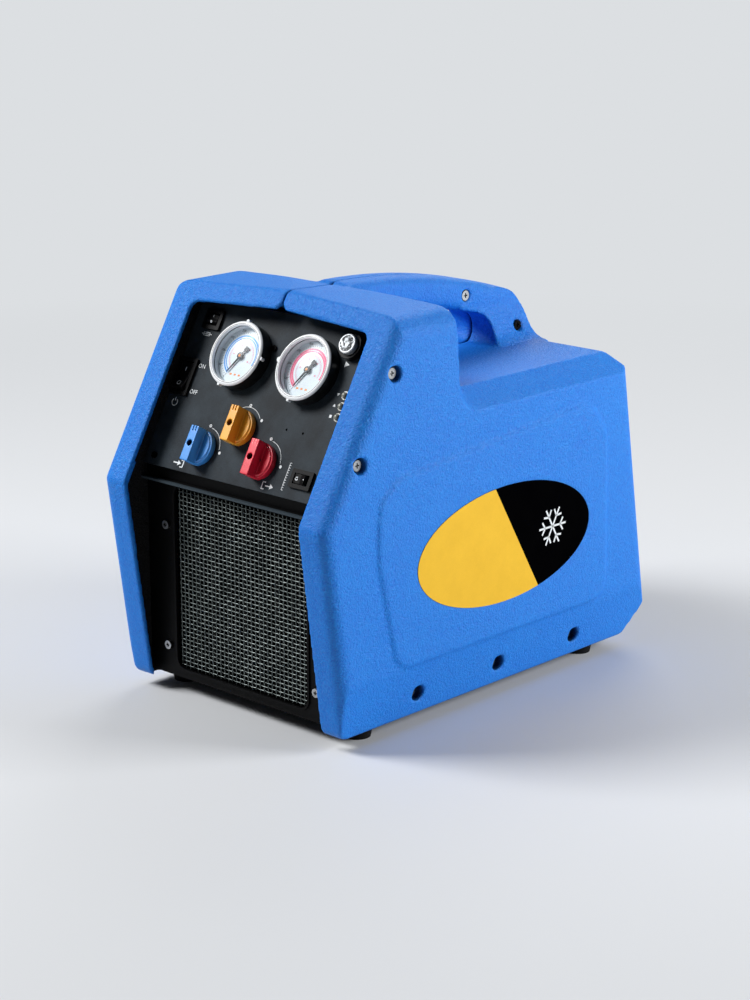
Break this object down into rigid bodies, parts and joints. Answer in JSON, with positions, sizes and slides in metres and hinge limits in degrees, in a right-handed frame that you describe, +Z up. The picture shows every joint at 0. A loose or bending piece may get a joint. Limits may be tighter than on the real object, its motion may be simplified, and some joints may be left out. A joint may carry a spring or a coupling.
{
  "type": "refrigerant recovery machine",
  "caption": "Portable refrigerant recovery machine: two-part moulded housing with carry handle, sloping gauge and valve panel, grilled condenser and fan, compressor and rear hose ports.",
  "frame": {"origin": "on the floor under the middle of the machine's bounding box", "axes": "+X to the operator's right, +Y from the control panel to the back, +Z up"},
  "size_m": [0.254, 0.4039, 0.3365],
  "materials": {
    "shell": "moulded, fine leather grain",
    "label": "printed film, amber in front and black behind",
    "screw_steel": "zinc plated",
    "black_sheet": "satin powder coat",
    "rubber": "matt",
    "mesh": "woven wire, dark coat",
    "panel": "satin dark slate",
    "black_plastic": "fine grain",
    "rocker": "gloss",
    "brass": "turned",
    "shaft_steel": "turned",
    "knob_blue": "satin",
    "knob_amber": "satin",
    "knob_red": "satin",
    "gauge_case": "satin",
    "bezel": "bright",
    "dial": "printed",
    "pointer": "matt",
    "lens": "clear, shallow dome",
    "button": "satin",
    "lamp": "tinted lens",
    "fin": "mill finish",
    "copper": "bare copper",
    "motor": "satin grey",
    "casting": "as cast",
    "filter": "gloss"
  },
  "bodies": {
    "housing": {"left_shell": "shell", "right_shell": "shell", "oval_label": "label", "shell_screws": "screw_steel", "plate_screws": "screw_steel", "base_plate": "black_sheet", "front_plate": "black_sheet", "rear_panel": "black_sheet", "fan_shroud": "black_sheet", "rubber_feet": "rubber", "rubber_mounts": "rubber", "grille_mesh": "mesh", "control_panel": "panel", "mains_inlet": "black_plastic", "power_switch_body": "black_plastic", "breaker_body": "black_plastic", "cutoff_switch_body": "black_plastic", "start_switch_body": "black_plastic", "inlet_port": "brass", "outlet_port": "brass", "manifold_block": "brass", "fan_bracket": "shaft_steel", "condenser_plates": "shaft_steel", "low_gauge_case": "gauge_case", "high_gauge_case": "gauge_case", "low_gauge_bezel": "bezel", "high_gauge_bezel": "bezel", "low_gauge_dial": "dial", "high_gauge_dial": "dial", "low_gauge_lens": "lens", "high_gauge_lens": "lens", "indicator_lamps": "lamp", "condenser_fins": "fin", "run_capacitor": "fin", "condenser_tube": "copper", "copper_pipes": "copper", "fan_motor": "motor", "compressor_motor": "motor", "compressor_body": "casting", "compressor_head": "casting", "inlet_filter": "filter"},
    "inlet_valve": {"inlet_stem": "shaft_steel", "inlet_knob": "knob_blue", "inlet_knob_screw": "screw_steel"},
    "mode_valve": {"mode_stem": "shaft_steel", "mode_knob": "knob_amber", "mode_knob_screw": "screw_steel"},
    "outlet_valve": {"outlet_stem": "shaft_steel", "outlet_knob": "knob_red", "outlet_knob_screw": "screw_steel"},
    "low_pointer": {"low_gauge_pointer": "pointer"},
    "high_pointer": {"high_gauge_pointer": "pointer"},
    "power_lever": {"power_rocker": "rocker"},
    "breaker_lever": {"breaker_rocker": "rocker"},
    "cutoff_lever": {"cutoff_rocker": "rocker"},
    "start_plunger": {"start_button": "button"},
    "fan_rotor": {"fan_shaft": "shaft_steel", "fan_blade": "black_plastic"}
  },
  "joints": [
    {"name": "inlet_turn", "type": "hinge", "parent": "housing", "child": "inlet_valve", "pos_m": [-0.047, -0.16308, 0.2099], "axis": [0, 0.8695, -0.4939], "range_deg": [0, 90]},
    {"name": "mode_turn", "type": "hinge", "parent": "housing", "child": "mode_valve", "pos_m": [-0.013, -0.15172, 0.2299], "axis": [0, 0.8695, -0.4939], "range_deg": [-60, 60]},
    {"name": "outlet_turn", "type": "hinge", "parent": "housing", "child": "outlet_valve", "pos_m": [0.0204, -0.16264, 0.21068], "axis": [0, 0.8695, -0.4939], "range_deg": [0, 90]},
    {"name": "low_gauge_swing", "type": "hinge", "parent": "housing", "child": "low_pointer", "pos_m": [-0.037, -0.12434, 0.2781], "axis": [0, 0.8695, -0.4939], "range_deg": [0, 262], "stiffness_Nm_per_rad": 0.0001},
    {"name": "high_gauge_swing", "type": "hinge", "parent": "housing", "child": "high_pointer", "pos_m": [0.037, -0.12434, 0.2781], "axis": [0, 0.8695, -0.4939], "range_deg": [0, 262], "stiffness_Nm_per_rad": 0.0001},
    {"name": "power_rock", "type": "hinge", "parent": "housing", "child": "power_lever", "pos_m": [-0.0945, -0.13539, 0.25621], "axis": [1, 0, 0], "range_deg": [0, 18]},
    {"name": "breaker_rock", "type": "hinge", "parent": "housing", "child": "breaker_lever", "pos_m": [-0.085, -0.11045, 0.30012], "axis": [1, 0, 0], "range_deg": [0, 18]},
    {"name": "cutoff_rock", "type": "hinge", "parent": "housing", "child": "cutoff_lever", "pos_m": [0.0665, -0.16456, 0.20487], "axis": [0, 0.4939, 0.8695], "range_deg": [0, 18]},
    {"name": "start_press", "type": "slide", "parent": "housing", "child": "start_plunger", "axis": [0, 0.8695, -0.4939], "range_m": [0, 0.003], "stiffness_N_per_m": 300},
    {"name": "fan_spin", "type": "hinge", "parent": "housing", "child": "fan_rotor", "pos_m": [0, -0.1275, 0.098], "axis": [0, 1, 0], "continuous": true}
  ]
}
